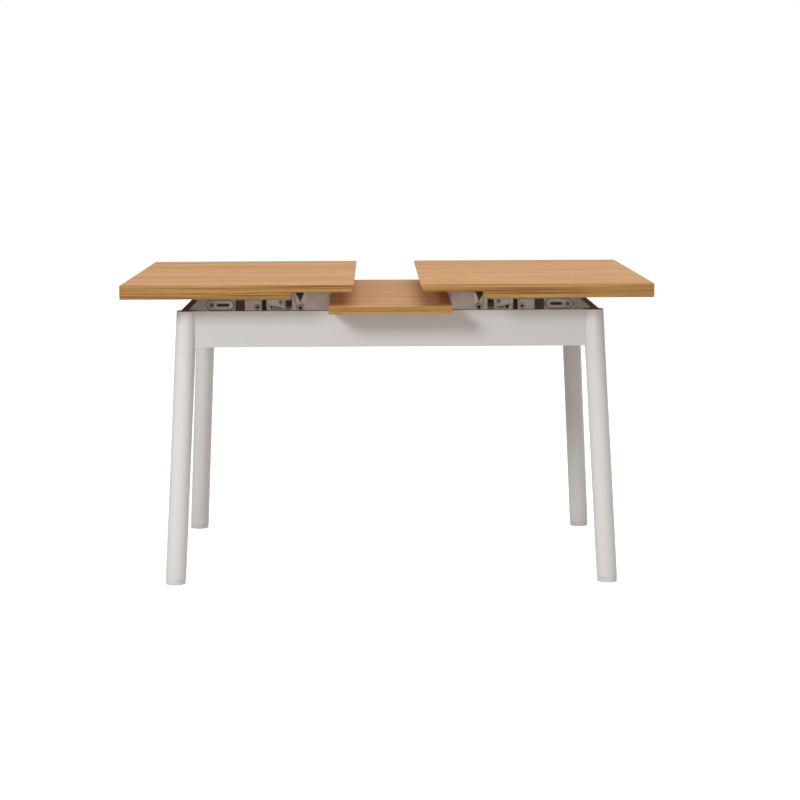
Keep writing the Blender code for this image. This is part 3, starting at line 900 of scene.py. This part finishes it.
class TABLE_OT_ribbed_buffers(bpy.types.Operator):
    """Build the ribbed rubber buffers beside the lift brackets, their ribs painted lighter than the black
    core as if lit
    """

    bl_idname = "table.ribbed_buffers"
    bl_label = "Ribbed Buffers"

    def execute(self, context):
        hardware = context.scene.table_hardware
        for side, row, x_sign, _ in UNITS:
            bracket_low, bracket_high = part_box(f"lift_bracket_{row}_{side}")
            support_low, support_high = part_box(f"slide_support_{row}_{side}")
            channel_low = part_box(f"slide_channel_{row}_{side}")[0]
            start = max(abs(bracket_low.x), abs(bracket_high.x)) + HAIR
            end = min(abs(support_low.x), abs(support_high.x)) - HAIR
            radius = hardware.bellows_radius
            centre = (0, (support_low.y + support_high.y) / 2, channel_low.z - radius - HAIR)
            place = axis_matrix(centre, (x_sign, 0, 0))
            core = radius * 0.72
            shape = bmesh.new()
            lathe(shape, [(0, start), (core, start), (core, end), (0, end)], place, segments=32)
            pitch = (end - start) / hardware.bellows_ribs
            for rib in range(hardware.bellows_ribs):
                at = start + rib * pitch
                ring = [(core * 0.98, at), (radius, at + pitch * 0.15), (radius, at + pitch * 0.5)]
                ring.append((core * 0.98, at + pitch * 0.65))
                # The ribs take the lighter rubber: a painted highlight on the ribs against the black core
                # in the grooves.
                lathe(shape, ring, place, segments=32, slot=1)
            materials = (moulding("Black rubber"), moulding("Worn rubber"))
            finish_piece(f"ribbed_buffer_{row}_{side}", shape, "frame", *materials)
        return {"FINISHED"}


def beside_support(side, row):
    """The start along X, the heights and the faces that pieces beside one slide support sit between."""
    low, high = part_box(f"slide_support_{row}_{side}")
    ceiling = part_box(f"slide_channel_{row}_{side}")[0].z - HAIR
    inner, outer = (low.y, high.y) if ROWS[row] > 0 else (high.y, low.y)
    start = min(abs(low.x), abs(high.x))
    floor = low.z + SUPPORT_FOOT + 2 * HAIR
    return start, floor, ceiling, inner, outer


class TABLE_OT_latch_levers(bpy.types.Operator):
    """Build the pressed latch lever with its screw on the inner ear of each slide support, with a dark wire
    of painted shade under its rim
    """

    bl_idname = "table.latch_levers"
    bl_label = "Latch Levers"

    def execute(self, context):
        wire = context.scene.table_hardware.rim_wire
        for side, row, x_sign, y_sign in UNITS:
            start, _, ceiling, _, outer = beside_support(side, row)
            face = front_place(outer, y_sign)
            near = start + 0.003
            top = ceiling - 0.001
            curve = []
            for index in range(13):
                along = index / 12
                drop = 0.0225 - 0.008 * math.sin(math.pi * along * 0.5)
                curve.append((x_sign * (near + LEVER_LENGTH * along), ceiling - drop))
            outline = curve + [(x_sign * (near + LEVER_LENGTH), top), (x_sign * near, top)]
            shape = bmesh.new()
            slab(shape, outline, face, HAIR, LEVER_SHEET, 0.0005)
            tube(shape, [face @ Vector((x, z, 0.0020)) for x, z in curve], wire)
            # A dark wire just under the rim: painted shade below the pressed edge.
            tube(shape, [face @ Vector((x, z - 1.8 * wire, 0.0008)) for x, z in curve], wire, slot=1)
            centre = (x_sign * (start + 0.012), outer + y_sign * LEVER_SHEET, ceiling - 0.0075)
            add_socket_bolt(shape, centre, (0, y_sign, 0), 0.0026, 0.0044)
            materials = (moulding("White nylon"), moulding("Black oxide"))
            finish_piece(f"latch_lever_{row}_{side}", shape, "frame", *materials)
        return {"FINISHED"}


class TABLE_OT_bumper_strips(bpy.types.Operator):
    """Build the upright rubber strip beside each latch lever"""

    bl_idname = "table.bumper_strips"
    bl_label = "Bumper Strips"

    def execute(self, context):
        for side, row, x_sign, y_sign in UNITS:
            start, floor, ceiling, inner, _ = beside_support(side, row)
            low = (x_sign * (start + 0.0495), floor)
            high = (x_sign * (start + 0.0605), ceiling)
            shape = bmesh.new()
            slab(shape, round_rectangle(low, high, 0.002), front_place(inner, y_sign), 0, 0.007, 0.0008)
            finish_piece(f"bumper_strip_{row}_{side}", shape, "frame", moulding("Black rubber"))
        return {"FINISHED"}


class TABLE_OT_roller_blocks(bpy.types.Operator):
    """Build each nylon block with a domed corner, and the roller on its bolt"""

    bl_idname = "table.roller_blocks"
    bl_label = "Roller Blocks"

    def execute(self, context):
        hardware = context.scene.table_hardware
        for side, row, x_sign, y_sign in UNITS:
            start, floor, ceiling, inner, _ = beside_support(side, row)
            near = start + 0.0615
            far = near + 0.043
            shoulder = ceiling - 0.010
            outline = [(x_sign * near, floor), (x_sign * near, shoulder)]
            for index in range(9):
                turn = math.pi / 2 * index / 8
                dome = near + 0.014 - 0.014 * math.cos(turn)
                outline.append((x_sign * dome, shoulder + 0.0095 * math.sin(turn)))
            outline += [(x_sign * far, ceiling - 0.0005), (x_sign * far, floor)]
            shape = bmesh.new()
            slab(shape, outline, front_place(inner, y_sign), 0, 0.010, 0.0009)
            finish_piece(f"roller_block_{row}_{side}", shape, "frame", moulding("White nylon"))
            shape = bmesh.new()
            centre = (x_sign * (near + 0.010), inner + y_sign * 0.0101, ceiling - 0.0185)
            head = hardware.bolt_radius * 0.85
            add_socket_bolt(shape, centre, (0, y_sign, 0), head, hardware.washer_radius * 0.9)
            materials = (ground_steel(), moulding("Black oxide"))
            finish_piece(f"roller_bolt_{row}_{side}", shape, "frame", *materials)
        return {"FINISHED"}


class TABLE_OT_ribbed_pads(bpy.types.Operator):
    """Build the dark pad with upright ribs beside each roller block, the ribs painted lighter than the pad
    as if lit
    """

    bl_idname = "table.ribbed_pads"
    bl_label = "Ribbed Pads"

    def execute(self, context):
        for side, row, x_sign, y_sign in UNITS:
            start, floor, ceiling, inner, _ = beside_support(side, row)
            near = start + 0.1060
            far = start + 0.1290
            pitch = (far - near) / PAD_RIBS
            face = front_place(inner, y_sign)
            shape = bmesh.new()
            pad = round_rectangle((x_sign * near, floor), (x_sign * far, ceiling), 0.001)
            slab(shape, pad, face, 0, 0.006)
            for rib in range(PAD_RIBS):
                at = near + pitch * (rib + 0.5)
                low = (x_sign * (at - pitch * 0.28), floor)
                high = (x_sign * (at + pitch * 0.28), ceiling)
                # The ribs take the lighter rubber: a painted highlight against the dark pad between them.
                slab(shape, round_rectangle(low, high, 0.0008), face, 0.0055, 0.0095, 0.0006, slot=1)
            materials = (moulding("Black rubber"), moulding("Worn rubber"))
            finish_piece(f"ribbed_pad_{row}_{side}", shape, "frame", *materials)
        return {"FINISHED"}


class TABLE_OT_pressed_rims(bpy.types.Operator):
    """Build the pressed rims and rivets on the supports' ears, with painted shade round each plate and in
    its slot
    """

    bl_idname = "table.pressed_rims"
    bl_label = "Pressed Rims"

    def execute(self, context):
        wire = context.scene.table_hardware.rim_wire
        for side, row, x_sign, y_sign in UNITS:
            low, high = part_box(f"slide_support_{row}_{side}")
            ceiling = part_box(f"slide_channel_{row}_{side}")[0].z
            outer = high.y if y_sign > 0 else low.y
            face = front_place(outer, y_sign)
            far = max(abs(low.x), abs(high.x))
            middle = x_sign * (far - 0.039)
            height = ceiling - 0.0140
            shape = bmesh.new()
            shade = stadium((middle, height), 0.0240, 0.0134)
            slab(shape, shade, face, HAIR, RIM_SHADE_SHEET, slot=1)
            plate = stadium((middle, height), 0.0238, 0.0120)
            slab(shape, plate, face, RIM_SHADE_SHEET, RIM_SHEET, 0.0004)
            slot_middle = middle - x_sign * 0.008
            # The slot is not cut: a dark sheet over it is painted shade inside the opening.
            slit_shade = stadium((slot_middle, height), 0.0120, 0.0036)
            slab(shape, slit_shade, face, RIM_SHEET, 0.0017, slot=1)
            for at, half_length, radius in ((middle, 0.0235, 0.0110), (slot_middle, 0.0122, 0.0048)):
                outline = stadium((at, height), half_length, radius)
                path = [face @ Vector((x, z, 0.0016)) for x, z in outline]
                tube(shape, path, wire, closed=True, slot=2)
            rivet = (x_sign * (far - 0.0175), outer + y_sign * RIM_SHEET, height)
            add_socket_bolt(shape, rivet, (0, y_sign, 0), 0.0036, 0.0062, slot=2)
            materials = (zinc(context), moulding("Black oxide"), ground_steel())
            finish_piece(f"pressed_rim_{row}_{side}", shape, "frame", *materials)
        return {"FINISHED"}


class TABLE_OT_board_screws(bpy.types.Operator):
    """Build the screws that hold the slide bars, rods, blocks and supports"""

    bl_idname = "table.board_screws"
    bl_label = "Board Screws"

    def execute(self, context):
        radius = context.scene.table_hardware.screw_radius
        for side in SIDES:
            shape = bmesh.new()
            for row, y_sign in ROWS.items():
                low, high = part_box(f"slide_bar_{row}_{side}")
                flange = (high.y if y_sign > 0 else low.y) - y_sign * 0.010
                for share in SCREW_SHARES:
                    x = low.x + (high.x - low.x) * share
                    add_screw(shape, (x, flange, high.z - FLANGE_SHEET - HAIR), (0, 0, -1), radius)
            finish_piece(f"bar_screws_{side}", shape, f"{side}_top", zinc(context), moulding("Black oxide"))
        shape = bmesh.new()
        for row in ROWS:
            low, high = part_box(f"leaf_guide_rod_{row}")
            centre = (low + high) / 2
            for index in range(3):
                turn = 2 * math.pi * (index / 3 + 0.25)
                x = centre.x + 0.0135 * math.cos(turn)
                y = centre.y + 0.0135 * math.sin(turn)
                add_screw(shape, (x, y, high.z - FLANGE_SHEET - HAIR), (0, 0, -1), radius * 0.9)
        finish_piece("rod_screws", shape, "leaf", zinc(context), moulding("Black oxide"))
        shape = bmesh.new()
        for side, row, x_sign, y_sign in UNITS:
            low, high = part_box(f"slide_support_{row}_{side}")
            outer = high.y if y_sign > 0 else low.y
            for share in SCREW_SHARES:
                x = low.x + (high.x - low.x) * share
                add_screw(shape, (x, outer + y_sign * HAIR, low.z + 0.010), (0, y_sign, 0), radius)
            low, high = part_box(f"corner_block_{row}_{side}")
            inside = Vector((-x_sign, -y_sign, 0)).normalized()
            across = high - low
            x = (low.x if x_sign > 0 else high.x) + x_sign * (across.x + BLOCK_CORNER) / 2
            y = (low.y if y_sign > 0 else high.y) + y_sign * (across.y + BLOCK_CORNER) / 2
            for height in (low.z + 0.015, high.z - 0.015):
                add_screw(shape, (x, y, height), inside, radius * 1.4)
        finish_piece("frame_screws", shape, "frame", zinc(context), moulding("Black oxide"))
        return {"FINISHED"}


# Each light: its place, the point it looks at, its width and its colour.
LIGHTS = {
    "key": ((-2.6, -3.7, 2.75), (0, -0.2, 0.55), 1.3, (0.93, 0.98, 1.0)),
    "fill": ((0.4, -0.6, 3.6), (0, 0, 0.5), 3.4, (1.0, 0.99, 0.98)),
    "front": ((0.3, -4.6, 1.05), (0, 0, 0.62), 0.9, (1.0, 0.97, 0.94)),
    "back": ((3.3, 3.4, 2.3), (0, 0, 0.45), 2.2, (1.0, 0.99, 0.97)),
}
FLOOR_SIZE = 40
FLOOR_GLOW = 0.82


class TABLE_OT_stage(bpy.types.Operator):
    """Build the floor, the lights and the camera"""

    bl_idname = "table.stage"
    bl_label = "Studio Stage"

    def execute(self, context):
        stage = context.scene.table_stage
        context.scene.view_settings.view_transform = "Standard"
        self.add_floor()
        self.add_sky(context, stage)
        for name, (place, target, size, colour) in LIGHTS.items():
            power = getattr(stage, f"{name}_power")
            self.add_light(f"{name}_light", place, target, size, power, colour)
        self.add_camera(context, stage)
        return {"FINISHED"}

    def add_floor(self):
        shape = bmesh.new()
        bmesh.ops.create_grid(shape, x_segments=2, y_segments=2, size=FLOOR_SIZE)
        mesh = bpy.data.meshes.new("floor")
        shape.to_mesh(mesh)
        shape.free()
        material = bpy.data.materials.new("Pale floor")
        material.use_nodes = True
        tree = material.node_tree
        shader = tree.nodes["Principled BSDF"]
        shader.inputs["Base Color"].default_value = (0.60, 0.555, 0.52, 1)
        shader.inputs["Roughness"].default_value = 0.85
        shader.inputs["Specular IOR Level"].default_value = 0.1
        rays = tree.nodes.new("ShaderNodeLightPath")
        glow = math_node(tree, "MULTIPLY", (-300, 0), rays.outputs["Is Camera Ray"], FLOOR_GLOW)
        shader.inputs["Emission Color"].default_value = (0.92, 0.97, 1.0, 1)
        tree.links.new(glow, shader.inputs["Emission Strength"])
        mesh.materials.append(material)
        floor = bpy.data.objects.new("floor", mesh)
        bpy.context.scene.collection.objects.link(floor)

    def add_sky(self, context, stage):
        world = bpy.data.worlds.new("Studio")
        world.use_nodes = True
        tree = world.node_tree
        backdrop = tree.nodes["Background"]
        camera_part = tree.nodes.new("ShaderNodeLightPath").outputs["Is Camera Ray"]
        light_part = math_node(tree, "SUBTRACT", (-300, -200), 1.0, camera_part)
        dimmed = math_node(tree, "MULTIPLY", (-150, -200), light_part, stage.sky_strength)
        strength = math_node(tree, "ADD", (0, -100), camera_part, dimmed)
        tint = mix_colour(tree, (0, 150), camera_part, (1, 0.94, 0.88, 1), (1, 1, 1, 1))
        tree.links.new(strength, backdrop.inputs["Strength"])
        tree.links.new(tint, backdrop.inputs["Color"])
        context.scene.world = world

    def add_light(self, name, place, target, size, power, colour):
        lamp = bpy.data.lights.new(name, "AREA")
        lamp.shape = "DISK"
        lamp.size = size
        lamp.energy = power
        lamp.color = colour
        light = bpy.data.objects.new(name, lamp)
        light.location = place
        heading = Vector(target) - Vector(place)
        light.rotation_euler = heading.to_track_quat("-Z", "Y").to_euler()
        bpy.context.scene.collection.objects.link(light)

    def add_camera(self, context, stage):
        camera = bpy.data.objects.new("camera", bpy.data.cameras.new("camera"))
        camera.data.lens = stage.lens
        camera.data.sensor_width = 36
        camera.data.clip_end = 100
        pan = stage.camera_pan
        tilt = -stage.camera_tilt
        ahead = Vector((math.sin(pan) * math.cos(tilt), math.cos(pan) * math.cos(tilt), math.sin(tilt)))
        level = Vector((math.cos(pan), -math.sin(pan), 0))
        upright = level.cross(ahead)
        roll = stage.camera_roll
        right = level * math.cos(roll) + upright * math.sin(roll)
        up = upright * math.cos(roll) - level * math.sin(roll)
        turn = Matrix((right, up, -ahead)).transposed().to_4x4()
        camera.matrix_world = Matrix.Translation(Vector(stage.camera_place)) @ turn
        context.scene.collection.objects.link(camera)
        context.scene.camera = camera


OPERATORS = (
    TABLE_OT_oak_boards,
    TABLE_OT_frame_boards,
    TABLE_OT_legs,
    TABLE_OT_mechanism,
    TABLE_OT_bracket_links,
    TABLE_OT_cover_plates,
    TABLE_OT_ribbed_buffers,
    TABLE_OT_latch_levers,
    TABLE_OT_bumper_strips,
    TABLE_OT_roller_blocks,
    TABLE_OT_ribbed_pads,
    TABLE_OT_pressed_rims,
    TABLE_OT_board_screws,
    TABLE_OT_stage,
)


class TABLE_PT_panel(bpy.types.Panel):
    """Lists the table's pieces and settings"""

    bl_idname = "TABLE_PT_panel"
    bl_label = "Dining Table"
    bl_space_type = "VIEW_3D"
    bl_region_type = "UI"
    bl_category = "Table"

    def draw(self, context):
        layout = self.layout
        for operator in OPERATORS:
            layout.operator(operator.bl_idname)
        for group in (context.scene.table_finish, context.scene.table_hardware, context.scene.table_stage):
            box = layout.box()
            for name in group.bl_rna.properties.keys():
                if name not in ("rna_type", "name"):
                    box.prop(group, name)


CLASSES = (TableFinish, TableHardware, TableStage, *OPERATORS, TABLE_PT_panel)


def register():
    for item in CLASSES:
        bpy.utils.register_class(item)
    bpy.types.Scene.table_finish = bpy.props.PointerProperty(type=TableFinish)
    bpy.types.Scene.table_hardware = bpy.props.PointerProperty(type=TableHardware)
    bpy.types.Scene.table_stage = bpy.props.PointerProperty(type=TableStage)


def unregister():
    del bpy.types.Scene.table_stage
    del bpy.types.Scene.table_hardware
    del bpy.types.Scene.table_finish
    for item in reversed(CLASSES):
        bpy.utils.unregister_class(item)


def main():
    register()
    for operator in OPERATORS:
        group, name = operator.bl_idname.split(".")
        getattr(getattr(bpy.ops, group), name)()
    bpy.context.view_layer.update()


if __name__ == "__main__":
    main()
